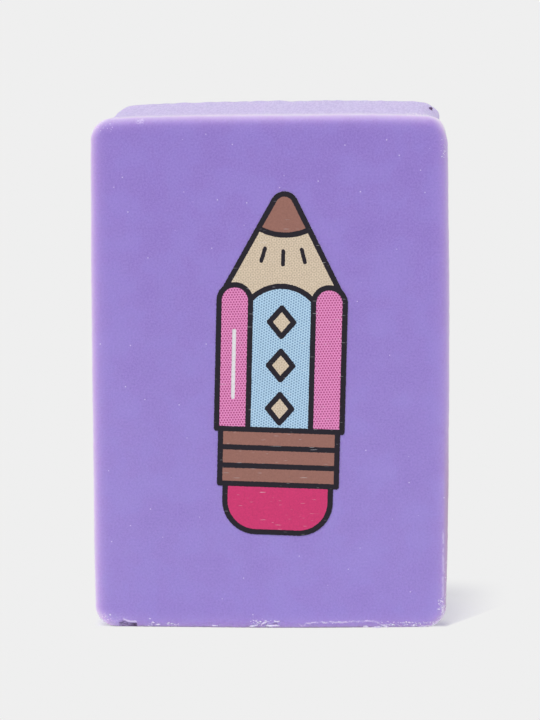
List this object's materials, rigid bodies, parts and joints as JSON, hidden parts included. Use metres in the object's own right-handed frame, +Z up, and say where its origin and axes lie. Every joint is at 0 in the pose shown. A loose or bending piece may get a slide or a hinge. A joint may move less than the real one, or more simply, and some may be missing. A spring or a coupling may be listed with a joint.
{
  "type": "printed block eraser",
  "caption": "Small rectangular rubber eraser with rounded corners, standing on its short end, with a colour transfer print of a pencil on its front face.",
  "frame": {"origin": "middle of the base, on the surface that the eraser stands on", "axes": "+Z up along the eraser's length, -Y out of the printed front face, +X to the right seen from the front"},
  "size_m": [0.025, 0.0101, 0.0365],
  "materials": {
    "purple_rubber": "matt purple eraser rubber, paler along its edges",
    "print_base_coat": "white base coat",
    "print_outlines": "near-black ink",
    "print_light_blue": "light blue ink, fine screen of dots",
    "print_pink": "pink ink, fine screen of dots",
    "print_raspberry": "raspberry ink, solid",
    "print_cream": "cream ink, fine screen of dots",
    "print_brown": "brown ink, solid"
  },
  "bodies": {
    "root": {"eraser_block": "purple_rubber", "print_base_coat": "print_base_coat", "print_outlines": "print_outlines", "print_light_blue": "print_light_blue", "print_pink": "print_pink", "print_raspberry": "print_raspberry", "print_cream": "print_cream", "print_brown": "print_brown"}
  },
  "joints": []
}
